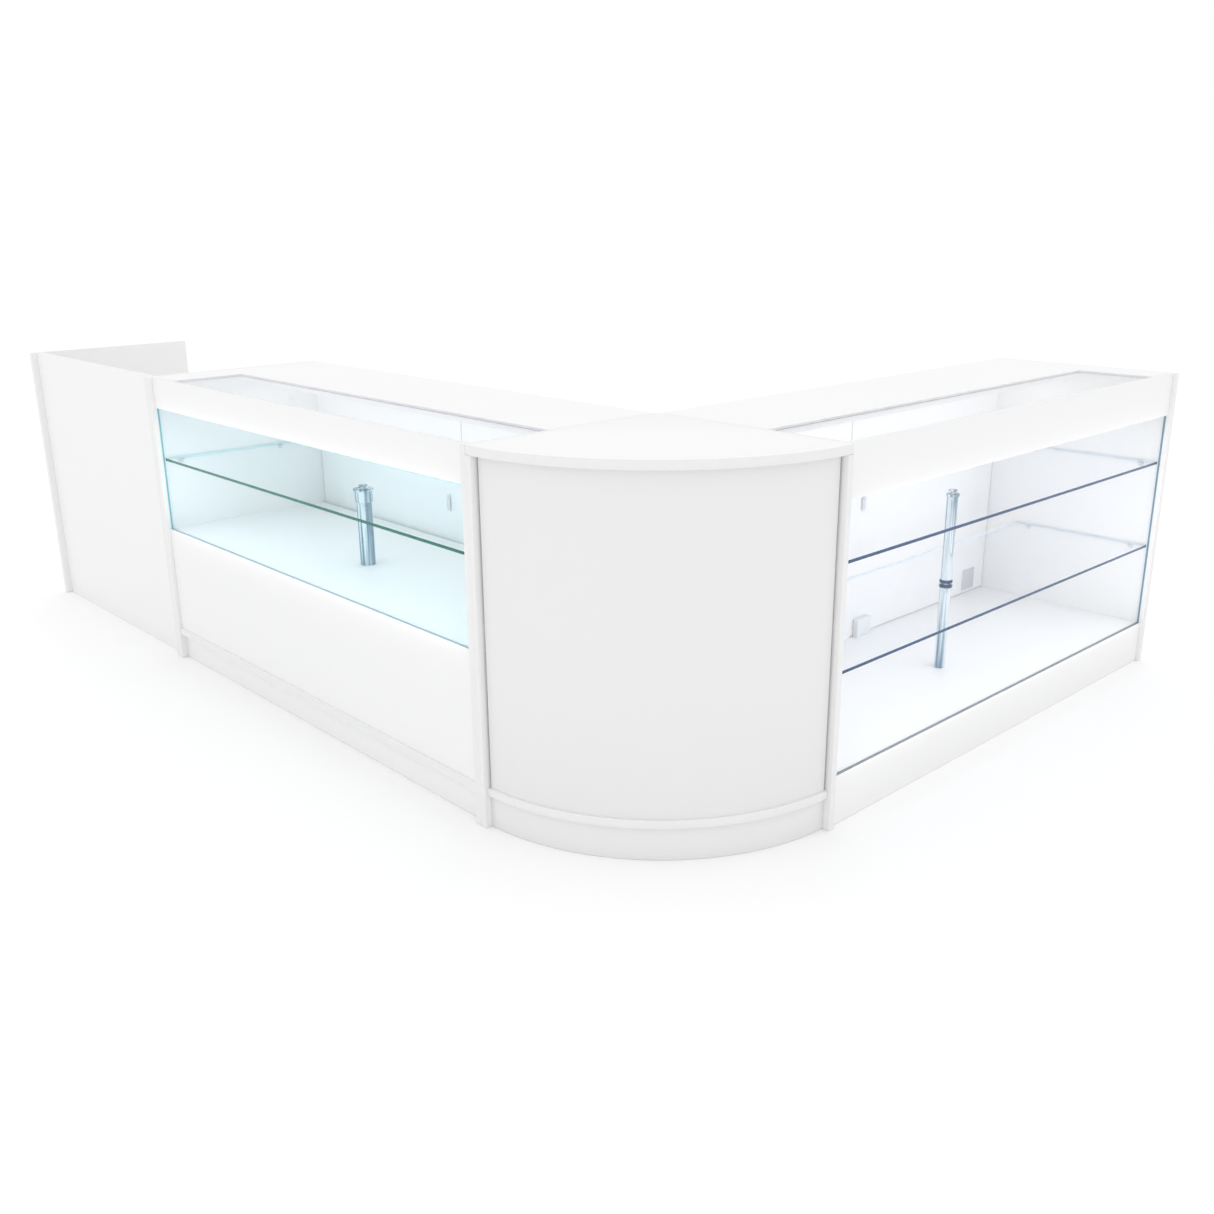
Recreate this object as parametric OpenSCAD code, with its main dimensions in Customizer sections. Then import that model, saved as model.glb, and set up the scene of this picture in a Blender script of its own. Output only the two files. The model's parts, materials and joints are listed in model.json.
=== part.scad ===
// L-shaped shop counter: a corner unit, two glazed display counters and a till block.
// X runs along the right-hand arm, Y along the left-hand arm, Z is up.
// Each display counter is drawn in its own frame: X along its length from the corner,
// Y from -unit_d at the customer's side to 0 at the staff side.

/* [Overall] */
// Height of every unit
unit_h = 900; // [800:10:1080]
// Depth of every unit, from customer side to staff side
unit_d = 580; // [480:10:700]
// Length of each display counter
display_w = 1600; // [1300:10:1950]
// Length of the till block
till_w = 1000; // [800:10:1200]

/* [Boards] */
// Thickness of the melamine-faced boards
board = 18; // [15:0.5:22]
// Thickness of the corner unit's top board
corner_top_t = 22; // [18:1:30]
// Thickness of the bent panel and the bent plinth of the corner unit
bent_t = 9; // [6:0.5:12]
// Thickness of the door boards
door_t = 16; // [14:0.5:18]
// How far the flat fronts of the display counters stand behind their side panels
front_setback = 10; // [6:1:16]
// How far the bent panel stands behind the corner unit's side panels
corner_setback = 15; // [10:1:22]
// Gap between each end of the bent panel and the corner unit's side panels
bent_end_gap = 6; // [2:0.5:10]
// Gap between the bent panel and the top board above it
bent_top_gap = 2.5; // [1:0.5:5]
// How far the till block's front stands behind its side panels
till_setback = 20; // [10:1:30]

/* [Heights] */
// Height of the plinth under the corner unit, the left counter and the till block
plinth_h = 82; // [60:1:100]
// Height of the right counter's display deck above the floor
right_deck_h = 125; // [100:1:150]
// Height of the left counter's display deck above the floor
left_deck_h = 428; // [360:1:500]
// Height of the left counter's fascia
left_fascia_h = 92; // [70:1:120]
// Height of the right counter's fascia
right_fascia_h = 124; // [90:1:150]
// Height of the left counter's glass shelf, to its underside
left_shelf_h = 644; // [560:1:700]
// Height of the right counter's lower glass shelf, to its underside
right_low_shelf_h = 369; // [300:1:440]
// Height of the right counter's upper glass shelf, to its underside
right_high_shelf_h = 628; // [560:1:690]
// How far the till block's worktop lies below its rim
till_recess = 180; // [120:5:260]
// Height of the till block's inner shelf, to its underside
till_shelf_h = 402; // [300:1:480]

/* [Glass] */
// Thickness of the front panes
glass_t = 6; // [5:0.5:8]
// Thickness of the glass shelves
shelf_t = 8; // [6:0.5:10]
// Thickness of the pane in the top
top_glass_t = 6; // [5:0.5:8]
// Clear width of the pane in the top, from the fascia to the worktop
top_glass_span = 207; // [150:1:260]
// Width of the board at the far end of the top, beside the pane
end_board_w = 125; // [80:1:180]
// Width of the ledge that the top pane rests on
rebate = 8; // [6:0.5:10]
// Depth of the grooves that hold the front pane
groove = 8; // [6:0.5:10]
// Distance from the fascia's front face back to the front pane
pane_inset = 4; // [3:0.5:6]
// Gap between the front pane and the front edge of a shelf
shelf_front_gap = 2; // [1:0.5:30]
// Depth of the glass shelves
shelf_d = 430; // [300:5:430]

/* [Shelf posts] */
// Diameter of the post that carries the left counter's shelf at mid length
left_post_d = 42; // [36:1:50]
// Diameter of the posts that carry the right counter's shelves at mid length
right_post_d = 30; // [25:1:36]
// How far a collar stands out all round from its post
collar_lip = 3; // [2:0.5:6]
// Height of one collar
collar_h = 6; // [4:1:12]
// Height of the left counter's lower collar
tall_collar_h = 36; // [20:1:50]
// Diameter of the flange on top of that collar
flange_d = 56; // [52:1:64]
// Thickness of that flange
flange_t = 4; // [3:0.5:8]
// Diameter of the stud that passes through a shelf
stud_d = 10; // [8:1:12]

/* [Doors] */
// Width of the upright between a counter's two doors
stile_w = 40; // [30:1:60]
// Gap all round a door
door_gap = 2.5; // [2:0.5:4]
// Distance from a door's end to the middle of a hinge
hinge_inset = 45; // [42:1:80]
// Height of one knuckle of a hinge
knuckle_h = 20; // [14:1:24]
// Outer diameter of a knuckle
knuckle_d = 8; // [7:0.5:9]
// Diameter of a hinge pin
pin_d = 4; // [3:0.5:5]
// Width of the leaf that is screwed to the frame
frame_leaf_w = 15; // [12:1:16]
// Width of the leaf that is screwed to the door
door_leaf_w = 34; // [25:1:45]
// Size of the square plates behind the hinges, inside the doors
backing_plate = 70; // [50:1:80]
// Height of the locks above the floor
lock_h = 560; // [500:5:600]
// Distance from a door's free edge to its lock
lock_inset = 30; // [26:1:40]
// Diameter of the lock's barrel
barrel_d = 16; // [14:0.5:18]
// How far the lock's cam reaches past the door's edge when locked
cam_bite = 10; // [6:1:12]
// Width of the lock's cam
cam_w = 14; // [10:1:18]
// Diameter of the lock's knob
knob_d = 28; // [24:1:36]

/* [Joining] */
// Diameter of the holes for the connector bolts between the units
bolt_hole_d = 8; // [6:0.5:10]
// Distance from a unit's front edge back to the front bolts
bolt_front = 80; // [70:1:120]
// Distance from a unit's rear edge to the rear bolts
bolt_rear = 110; // [90:1:140]
// Height of the lower row of bolts
bolt_low = 45; // [30:1:48]
// Distance from the top down to the upper row of bolts
bolt_drop = 110; // [100:1:140]

/* [Clearances] */
// Gap at each end of a pane or a shelf
glass_end_gap = 1; // [0.5:0.5:2]
// Slack of a pane in its groove, on each face
glass_slack = 0.2; // [0.1:0.1:0.5]
// Radial running clearance of a hinge pin or a lock barrel
run_fit = 0.05; // [0.02:0.01:0.08]
// Gap along the axis between two knuckles
knuckle_gap = 0.4; // [0.2:0.1:1]
// Gap between a part that turns and the board beside it
turn_gap = 1; // [0.5:0.1:2]
// Radial slack of a connector bolt in its hole
bolt_slack = 0.2; // [0.1:0.1:0.5]

/* [Hidden] */
$fn = 48;

melamine = "white";
pane_tint = [0.55, 0.80, 0.78, 0.4];
bright_metal = "silver";

// Small sizes that nothing else follows
leaf_t = 2;
plate_t = 2.5;
cam_t = 2.5;
cam_nut_d = 12;
cam_nut_t = 4;
knob_t = 10;
knob_bar_w = 7;
knob_bar_t = 8;
hinge_stand_off = 0.5;
plate_inset = 60;
catch_size = [66, 18, 56];
catch_inset = 14;
ledge_reveal = 2;
corner_ledge = 7;
corner_plinth_setback = 3;
kick_setback = 20;
bracket_w = 14;
bracket_reach = 12;
bracket_t = 2;
bracket_front = 48;
bracket_rear = 40;
cap_d = 18;
cap_t = 3;
till_shelf_rear_gap = 40;
post_cap_d = 24;
post_cap_h = 3;
corner_former_z = 480;

// The whole counter's middle, seen from the inner corner
mid_x = (display_w - unit_d) / 2;
mid_y = (display_w + till_w - unit_d) / 2;

front_y = -unit_d + front_setback;
panel_back_y = front_y + board;
pane_y = front_y + pane_inset;
under_top = unit_h - board;
inner_w = display_w - 2 * board;
worktop_y = panel_back_y + top_glass_span;
end_board_x = display_w - board - end_board_w;
shelf_y = pane_y + glass_t + shelf_front_gap;
post_y = shelf_y + shelf_d / 2;
post_x = display_w / 2;
left_collar_d = left_post_d + 2 * collar_lip;
right_collar_d = right_post_d + 2 * collar_lip;
stile_x = (display_w - stile_w) / 2;
base_top = plinth_h + board;
left_fascia_z = unit_h - left_fascia_h;
right_fascia_z = unit_h - right_fascia_h;
bent_r = unit_d - corner_setback;
till_front_y = -unit_d + till_setback;
till_top = unit_h - till_recess;
bolt_ys = [-unit_d + bolt_front, -bolt_rear];
bolt_zs = [bolt_low, unit_h - bolt_drop];

// Places across a counter's rear: a door runs from its free edge to its hinged edge
near_free_x = board + door_gap;
near_hinged_x = stile_x - door_gap;
far_free_x = stile_x + stile_w + door_gap;
far_hinged_x = display_w - board - door_gap;
door_top = under_top - door_gap;
axis_y = knuckle_d / 2 + hinge_stand_off;
cam_reach = lock_inset + door_gap + cam_bite;
cam_y = -max(board, door_t) - turn_gap - cam_t;

// ---- placing ----
module from_corner() { translate([-mid_x, -mid_y, 0]) children(); }
module right_arm() { from_corner() children(); }
module left_arm() { from_corner() mirror([1, -1, 0]) children(); }
module till_block() { left_arm() translate([display_w, 0, 0]) children(); }

// A board given by two opposite corners
module slab(low, high) { translate(low) cube(high - low); }

// A bore or rod along X
module rod_x(x, y, z, d, length) { translate([x, y, z]) rotate([0, 90, 0]) cylinder(d = d, h = length); }

// A bore or rod along Y, reaching back from y
module rod_y(x, y, z, d, length) { translate([x, y, z]) rotate([-90, 0, 0]) cylinder(d = d, h = length); }

// ---- carcass boards ----
module bolt_holes(x) {
    for (y = bolt_ys, z = bolt_zs) rod_x(x - 1, y, z, bolt_hole_d, board + 2);
}

module plain_side(x, front) { slab([x, front, 0], [x + board, 0, unit_h]); }

// A side panel that is bolted to the next unit's
module side_board(x, front) {
    difference() {
        plain_side(x, front);
        bolt_holes(x);
    }
}

// The sunk place that the top pane lies in
module glass_pocket() {
    slab([board - rebate, panel_back_y - rebate, unit_h - top_glass_t],
         [end_board_x + rebate, worktop_y + rebate, unit_h + 1]);
}

// The slot in the near side panel that the near door's cam turns into
module cam_slot() {
    cam_drop = sqrt(pow(cam_reach, 2) + pow(cam_w / 2, 2) - pow(lock_inset + door_gap, 2));
    slab([board - cam_bite - 2 * turn_gap, cam_y - turn_gap, lock_h - cam_drop - turn_gap],
         [board + 1, cam_y + cam_t + turn_gap, lock_h + cam_w / 2 + turn_gap]);
}

module near_side(front) {
    color(melamine) difference() {
        side_board(0, front);
        glass_pocket();
        cam_slot();
    }
}

// The front boards and the pane of a counter run from near_x to its far side panel
module pane_groove(near_x, low_z, high_z) {
    slab([near_x - 1, pane_y - glass_slack, low_z],
         [display_w - board + 1, pane_y + glass_t + glass_slack, high_z]);
}

module fascia(near_x, z) {
    color(melamine) difference() {
        slab([near_x, front_y, z], [display_w - board, panel_back_y, unit_h]);
        glass_pocket();
        pane_groove(near_x, z - 1, z + groove);
    }
}

module worktop() {
    color(melamine) difference() {
        slab([board, worktop_y, under_top], [end_board_x, 0, unit_h]);
        glass_pocket();
    }
}

module end_board() {
    color(melamine) difference() {
        slab([end_board_x, panel_back_y, under_top], [display_w - board, 0, unit_h]);
        glass_pocket();
    }
}

// Front board below the pane, with the pane's lower groove in its top edge
module pane_sill(near_x, low_z, high_z) {
    color(melamine) difference() {
        slab([near_x, front_y, low_z], [display_w - board, panel_back_y, high_z]);
        pane_groove(near_x, high_z - groove, high_z + 1);
    }
}

module deck(top_z) {
    color(melamine) slab([board, panel_back_y, top_z - board], [display_w - board, 0, top_z]);
}

module inner_deck(top_z) {
    color(melamine)
        slab([board, panel_back_y, top_z - board],
             [display_w - board, cam_y - cam_nut_t - 2 * turn_gap, top_z]);
}

module rear_plinth(top_z) {
    color(melamine)
        slab([board, -kick_setback - board, 0], [display_w - board, -kick_setback, top_z]);
}

module stile(low_z) {
    color(melamine) slab([stile_x, -board, low_z], [stile_x + stile_w, 0, under_top]);
}

// ---- glass ----
module top_glass() {
    color(pane_tint)
        slab([board - rebate + glass_end_gap, panel_back_y - rebate + glass_end_gap, unit_h - top_glass_t],
             [end_board_x + rebate - glass_end_gap, worktop_y + rebate - glass_end_gap, unit_h]);
}

module front_glass(near_x, sill_z, fascia_z) {
    color(pane_tint)
        slab([near_x + glass_end_gap, pane_y, sill_z - groove],
             [display_w - board - glass_end_gap, pane_y + glass_t, fascia_z + groove - glass_end_gap]);
}

module glass_shelf(z) {
    color(pane_tint) difference() {
        slab([board + 2 * glass_end_gap, shelf_y, z],
             [display_w - board - 2 * glass_end_gap, shelf_y + shelf_d, z + shelf_t]);
        translate([post_x, post_y, z - 1]) cylinder(d = stud_d + 2 * glass_end_gap, h = shelf_t + 2);
    }
}

// ---- posts ----
module post(d, low_z, high_z) {
    color(bright_metal) translate([post_x, post_y, low_z]) cylinder(d = d, h = high_z - low_z);
}

// Collar under a shelf, with the stud that passes up through the shelf and the piece above
module collar_with_stud(shelf_z, d, height, above_h) {
    translate([post_x, post_y, shelf_z - height]) cylinder(d = d, h = height);
    translate([post_x, post_y, shelf_z - 1]) cylinder(d = stud_d, h = 1 + shelf_t + above_h);
}

module ring_above(shelf_z, d, height) {
    translate([post_x, post_y, shelf_z + shelf_t]) difference() {
        cylinder(d = d, h = height);
        translate([0, 0, -1]) cylinder(d = stud_d + 2 * run_fit, h = height + 2);
    }
}

module post_collars() {
    color(bright_metal) {
        left_arm() {
            collar_with_stud(left_shelf_h, left_collar_d, tall_collar_h, post_cap_h);
            translate([post_x, post_y, left_shelf_h - flange_t]) cylinder(d = flange_d, h = flange_t);
            ring_above(left_shelf_h, post_cap_d, post_cap_h);
        }
        right_arm() {
            collar_with_stud(right_low_shelf_h, right_collar_d, collar_h, collar_h);
            ring_above(right_low_shelf_h, right_collar_d, collar_h);
            collar_with_stud(right_high_shelf_h, right_collar_d, collar_h, post_cap_h);
            ring_above(right_high_shelf_h, post_cap_d, post_cap_h);
        }
    }
}

// ---- shelf brackets ----
// A bracket on a side panel's inner face; way is 1 at the near end and -1 at the far end
module bracket(face_x, way, y, shelf_z) {
    reach = way > 0 ? [0, bracket_reach] : [-bracket_reach, 0];
    plate = way > 0 ? [0, bracket_t] : [-bracket_t, 0];
    slab([face_x + reach[0], y - bracket_w / 2, shelf_z - bracket_t],
         [face_x + reach[1], y + bracket_w / 2, shelf_z]);
    slab([face_x + plate[0], y - bracket_w / 2, shelf_z - bracket_reach],
         [face_x + plate[1], y + bracket_w / 2, shelf_z]);
}

module bracket_row(width, front, depth, shelf_z) {
    for (y = [front + bracket_front, front + depth - bracket_rear]) {
        bracket(board, 1, y, shelf_z);
        bracket(width - board, -1, y, shelf_z);
    }
}

module shelf_brackets() {
    color(bright_metal) {
        left_arm() bracket_row(display_w, shelf_y, shelf_d, left_shelf_h);
        right_arm() bracket_row(display_w, shelf_y, shelf_d, right_low_shelf_h);
        right_arm() bracket_row(display_w, shelf_y, shelf_d, right_high_shelf_h);
        till_block() bracket_row(till_w, till_front_y + board,
                                 -till_front_y - board - till_shelf_rear_gap, till_shelf_h);
    }
}

// ---- doors ----
function hinge_zs(door_low) = [door_low + hinge_inset, door_top - hinge_inset];
function hinge_x(hinged_x) = hinged_x + door_gap / 2;

module door(free_x, hinged_x, low_z) {
    color(melamine) difference() {
        slab([free_x, -door_t, low_z], [hinged_x, 0, door_top]);
        rod_y(free_x + lock_inset, -door_t - 1, lock_h, barrel_d + 2 * run_fit, door_t + 2);
    }
}

// One knuckle with its bore; its web joins it to the leaf on the side that way names
module knuckle(x, z, way, bore_r) {
    difference() {
        union() {
            translate([x, axis_y, z]) cylinder(d = knuckle_d, h = knuckle_h);
            slab([min(x, x + way * knuckle_d), 0, z], [max(x, x + way * knuckle_d), leaf_t, z + knuckle_h]);
        }
        translate([x, axis_y, z - 1]) cylinder(r = bore_r, h = knuckle_h + 2);
    }
}

function knuckle_z(z, i) = z + (i - 1.5) * knuckle_h + (i - 1) * knuckle_gap;

module frame_leaf(x, z) {
    half = 1.5 * knuckle_h + knuckle_gap;
    for (i = [0, 2]) knuckle(x, knuckle_z(z, i), 1, pin_d / 2);
    slab([x + knuckle_d / 2 + turn_gap, 0, z - half], [x + frame_leaf_w, leaf_t, z + half]);
}

module door_leaf(x, z) {
    half = 1.5 * knuckle_h + knuckle_gap;
    knuckle(x, knuckle_z(z, 1), -1, pin_d / 2 + run_fit);
    slab([x - door_leaf_w, 0, z - half], [x - knuckle_d / 2 - turn_gap, leaf_t, z + half]);
}

module backing(hinged_x, z) {
    slab([hinged_x - plate_inset - backing_plate, -door_t - plate_t, z - backing_plate / 2],
         [hinged_x - plate_inset, -door_t, z + backing_plate / 2]);
}

module door_hinges(hinged_x, low_z) {
    color(bright_metal) for (z = hinge_zs(low_z)) {
        door_leaf(hinge_x(hinged_x), z);
        backing(hinged_x, z);
    }
}

// Knob, barrel and cam of a lock, with the cam hanging down, unlocked
module lock(free_x) {
    x = free_x + lock_inset;
    color(bright_metal) {
        rod_y(x, turn_gap / 2, lock_h, knob_d, knob_t);
        slab([x - knob_bar_w / 2, turn_gap / 2 + knob_t - 1, lock_h - knob_d / 2 + 1],
             [x + knob_bar_w / 2, turn_gap / 2 + knob_t + knob_bar_t, lock_h + knob_d / 2 - 1]);
        rod_y(x, cam_y, lock_h, barrel_d, turn_gap / 2 - cam_y + 1);
        slab([x - cam_w / 2, cam_y, lock_h - cam_reach], [x + cam_w / 2, cam_y + cam_t, lock_h]);
        rod_y(x, cam_y - cam_nut_t, lock_h, cam_nut_d, cam_nut_t + 1);
    }
}

module frame_leaves(low_z) {
    for (edge = [near_hinged_x, far_hinged_x], z = hinge_zs(low_z)) frame_leaf(hinge_x(edge), z);
}

module pins(low_z) {
    length = 3 * knuckle_h + 2 * knuckle_gap;
    for (edge = [near_hinged_x, far_hinged_x], z = hinge_zs(low_z))
        translate([hinge_x(edge), axis_y, z - length / 2]) cylinder(d = pin_d, h = length);
}

// Magnet blocks that hold the doors' free edges, at floor and top of the opening
module catches(floor_z) {
    for (edge = [near_free_x, far_free_x], z = [floor_z, under_top - catch_size[2]])
        translate([edge + catch_inset, -door_t - turn_gap - catch_size[1], z]) cube(catch_size);
}

module hinge_frame_leaves() {
    color(bright_metal) {
        left_arm() frame_leaves(base_top + door_gap);
        right_arm() frame_leaves(right_deck_h + door_gap);
    }
}

module hinge_pins() {
    color(bright_metal) {
        left_arm() pins(base_top + door_gap);
        right_arm() pins(right_deck_h + door_gap);
    }
}

module door_catches() {
    color(melamine) {
        left_arm() catches(base_top);
        right_arm() catches(right_deck_h);
    }
}

// ---- joining the units ----
// Bolts through the two panels that meet at x, capped on both inner faces
module joint_bolts(x) {
    for (y = bolt_ys, z = bolt_zs) {
        rod_x(x - board - cap_t, y, z, cap_d, cap_t);
        rod_x(x - board - 1, y, z, bolt_hole_d - 2 * bolt_slack, 2 * board + 2);
        rod_x(x + board, y, z, cap_d, cap_t);
    }
}

module connector_bolts() {
    color(bright_metal) {
        right_arm() joint_bolts(0);
        left_arm() joint_bolts(0);
        left_arm() joint_bolts(display_w);
    }
}

// ---- corner unit ----
// The quarter circle behind both side panels, or the full one out to the unit's edges
module quarter(r, low_z, high_z, inset) {
    intersection() {
        translate([0, 0, low_z]) cylinder(r = r, h = high_z - low_z, $fn = 180);
        slab([-r - 1, -r - 1, low_z], [-inset, -inset, high_z]);
    }
}

module quarter_ring(r, thick, low_z, high_z, inset) {
    difference() {
        quarter(r, low_z, high_z, inset);
        translate([0, 0, low_z - 1]) cylinder(r = r - thick, h = high_z - low_z + 2, $fn = 180);
    }
}

module corner_left_side() {
    color(melamine) from_corner() mirror([1, -1, 0]) difference() {
        slab([-board, -unit_d, 0], [0, 0, unit_h - corner_top_t]);
        bolt_holes(-board);
    }
}

module corner_right_side() {
    color(melamine) from_corner() difference() {
        slab([-board, -unit_d, 0], [0, -board, unit_h - corner_top_t]);
        bolt_holes(-board);
    }
}

module corner_top() {
    color(melamine) from_corner() quarter(unit_d, unit_h - corner_top_t, unit_h, 0);
}

module corner_front() {
    color("whitesmoke") from_corner()
        quarter_ring(bent_r, bent_t, base_top, unit_h - corner_top_t - bent_top_gap,
                     board + bent_end_gap);
}

module corner_former() {
    color(melamine) from_corner()
        quarter(bent_r - bent_t, corner_former_z, corner_former_z + board, board);
}

module corner_base_board() {
    color(melamine) from_corner() quarter(bent_r + corner_ledge, plinth_h, base_top, board);
}

module corner_plinth() {
    color("whitesmoke") from_corner()
        quarter_ring(bent_r - corner_plinth_setback, bent_t, 0, plinth_h, board);
}

// ---- left counter: half glazed, with a cupboard below ----
module left_near_side() { left_arm() near_side(-unit_d); }
module left_far_side() { color(melamine) left_arm() side_board(display_w - board, -unit_d); }
module left_fascia() { left_arm() fascia(board, left_fascia_z); }
module left_worktop() { left_arm() worktop(); }
module left_end_board() { left_arm() end_board(); }
module left_top_glass() { left_arm() top_glass(); }
module left_front_glass() { left_arm() front_glass(board, left_deck_h, left_fascia_z); }
module left_shelf() { left_arm() glass_shelf(left_shelf_h); }
module left_post() { left_arm() post(left_post_d, left_deck_h, left_shelf_h - tall_collar_h); }
module left_deck() { left_arm() inner_deck(left_deck_h); }
module left_front_panel() { left_arm() pane_sill(board, base_top, left_deck_h); }

module left_base_board() {
    color(melamine) left_arm()
        slab([board, -unit_d + ledge_reveal, plinth_h], [display_w - board, 0, base_top]);
}

module left_plinths() {
    left_arm() {
        color(melamine)
            slab([board, kick_setback - unit_d, 0],
                 [display_w - board, kick_setback - unit_d + board, plinth_h]);
        rear_plinth(plinth_h);
    }
}

module left_stile() { left_arm() stile(base_top); }
module left_near_door() { left_arm() door(near_free_x, near_hinged_x, base_top + door_gap); }
module left_near_hinges() { left_arm() door_hinges(near_hinged_x, base_top + door_gap); }
module left_near_lock() { left_arm() lock(near_free_x); }
module left_far_door() { left_arm() door(far_free_x, far_hinged_x, base_top + door_gap); }
module left_far_hinges() { left_arm() door_hinges(far_hinged_x, base_top + door_gap); }
module left_far_lock() { left_arm() lock(far_free_x); }

// ---- right counter: glazed over its whole height ----
// Its front boards and pane lap over the near side panel
module right_near_side() { right_arm() near_side(panel_back_y); }
module right_far_side() { color(melamine) right_arm() plain_side(display_w - board, -unit_d); }
module right_fascia() { right_arm() fascia(0, right_fascia_z); }
module right_worktop() { right_arm() worktop(); }
module right_end_board() { right_arm() end_board(); }
module right_top_glass() { right_arm() top_glass(); }
module right_front_glass() { right_arm() front_glass(0, right_deck_h, right_fascia_z); }
module right_low_shelf() { right_arm() glass_shelf(right_low_shelf_h); }
module right_high_shelf() { right_arm() glass_shelf(right_high_shelf_h); }

module right_low_post() {
    right_arm() post(right_post_d, right_deck_h, right_low_shelf_h - collar_h);
}

module right_high_post() {
    right_arm()
        post(right_post_d, right_low_shelf_h + shelf_t + collar_h, right_high_shelf_h - collar_h);
}

module right_deck() { right_arm() deck(right_deck_h); }

module right_plinths() {
    right_arm() {
        pane_sill(0, 0, right_deck_h);
        rear_plinth(right_deck_h - board);
    }
}

module right_stile() { right_arm() stile(right_deck_h); }
module right_near_door() { right_arm() door(near_free_x, near_hinged_x, right_deck_h + door_gap); }
module right_near_hinges() { right_arm() door_hinges(near_hinged_x, right_deck_h + door_gap); }
module right_near_lock() { right_arm() lock(near_free_x); }
module right_far_door() { right_arm() door(far_free_x, far_hinged_x, right_deck_h + door_gap); }
module right_far_hinges() { right_arm() door_hinges(far_hinged_x, right_deck_h + door_gap); }
module right_far_lock() { right_arm() lock(far_free_x); }

// ---- till block ----
module till_near_side() { color(melamine) till_block() side_board(0, -unit_d); }
module till_far_side() { color(melamine) till_block() plain_side(till_w - board, -unit_d); }

// A level board between the till block's sides, from its front board to rear_y
module till_level(low_z, rear_y) {
    color(melamine) till_block()
        slab([board, till_front_y + board, low_z], [till_w - board, rear_y, low_z + board]);
}

module till_front() {
    color(melamine) till_block()
        slab([board, till_front_y, 0], [till_w - board, till_front_y + board, unit_h]);
}

module till_worktop() { till_level(till_top - board, 0); }
module till_shelf() { till_level(till_shelf_h, -till_shelf_rear_gap); }
module till_base_board() { till_level(plinth_h, 0); }

module till_kickboard() {
    color(melamine) till_block()
        slab([board, -kick_setback - board, 0], [till_w - board, -kick_setback, plinth_h]);
}

corner_left_side();
corner_right_side();
corner_top();
corner_front();
corner_former();
corner_base_board();
corner_plinth();
left_near_side();
left_far_side();
left_fascia();
left_worktop();
left_end_board();
left_top_glass();
left_front_glass();
left_shelf();
left_post();
left_deck();
left_front_panel();
left_base_board();
left_plinths();
left_stile();
left_near_door();
left_near_hinges();
left_near_lock();
left_far_door();
left_far_hinges();
left_far_lock();
right_near_side();
right_far_side();
right_fascia();
right_worktop();
right_end_board();
right_top_glass();
right_front_glass();
right_low_shelf();
right_high_shelf();
right_low_post();
right_high_post();
right_deck();
right_plinths();
right_stile();
right_near_door();
right_near_hinges();
right_near_lock();
right_far_door();
right_far_hinges();
right_far_lock();
till_near_side();
till_far_side();
till_front();
till_worktop();
till_shelf();
till_base_board();
till_kickboard();
shelf_brackets();
post_collars();
hinge_frame_leaves();
hinge_pins();
door_catches();
connector_bolts();
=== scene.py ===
"""Looks of an L-shaped shop counter: board, glass and metal finishes, and the small trim."""

import json
import logging
import math
from dataclasses import dataclass, field
from enum import Enum
from typing import Callable, Optional, Sequence, Union

import bmesh
import bpy
from mathutils import Matrix, Quaternion, Vector

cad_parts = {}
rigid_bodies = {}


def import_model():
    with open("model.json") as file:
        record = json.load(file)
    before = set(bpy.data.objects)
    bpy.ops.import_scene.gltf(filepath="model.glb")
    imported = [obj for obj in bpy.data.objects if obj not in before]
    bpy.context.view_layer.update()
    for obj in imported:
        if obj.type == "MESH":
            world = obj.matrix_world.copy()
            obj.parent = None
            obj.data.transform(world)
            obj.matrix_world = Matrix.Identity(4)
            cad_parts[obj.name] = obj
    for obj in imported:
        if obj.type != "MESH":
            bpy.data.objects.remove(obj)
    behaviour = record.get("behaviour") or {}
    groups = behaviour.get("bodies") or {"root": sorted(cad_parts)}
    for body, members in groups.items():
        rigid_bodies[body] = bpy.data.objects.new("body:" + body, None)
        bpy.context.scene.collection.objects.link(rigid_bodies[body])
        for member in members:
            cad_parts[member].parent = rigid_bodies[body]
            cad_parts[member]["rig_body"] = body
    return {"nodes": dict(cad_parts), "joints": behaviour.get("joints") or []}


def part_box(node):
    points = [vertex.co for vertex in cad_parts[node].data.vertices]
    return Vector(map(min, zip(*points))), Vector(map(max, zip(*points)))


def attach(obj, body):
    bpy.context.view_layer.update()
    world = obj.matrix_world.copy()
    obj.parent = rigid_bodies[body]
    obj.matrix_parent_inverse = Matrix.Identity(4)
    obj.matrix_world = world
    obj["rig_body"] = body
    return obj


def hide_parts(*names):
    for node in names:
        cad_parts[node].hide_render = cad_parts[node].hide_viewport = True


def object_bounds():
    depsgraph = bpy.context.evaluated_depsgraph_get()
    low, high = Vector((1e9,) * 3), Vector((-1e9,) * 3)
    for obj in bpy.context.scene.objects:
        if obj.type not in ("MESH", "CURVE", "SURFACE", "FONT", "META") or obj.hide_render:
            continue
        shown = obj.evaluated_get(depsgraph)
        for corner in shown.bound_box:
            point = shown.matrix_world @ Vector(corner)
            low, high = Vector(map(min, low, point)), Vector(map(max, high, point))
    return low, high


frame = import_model()
CAD_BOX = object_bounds()

logging.basicConfig(level=logging.INFO, format="%(name)s: %(message)s")
LOG = logging.getLogger("counter")

MM = 0.001
ROOT = "counter"
WHITE = (1.0, 1.0, 1.0)

BOARD_ROUND = 0.8 * MM
METAL_ROUND = 0.3 * MM
SMOOTH_BELOW = 35.0
ACROSS = 0.9
SAME_PLACE = 1e-6
FLAT_WITHIN = 0.5

Number = Union[int, float]
Colour = tuple[float, float, float]


def rgba(colour: Colour) -> tuple[float, float, float, float]:
    """Give an opaque colour's four channels."""
    return (*colour, 1.0)


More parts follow.
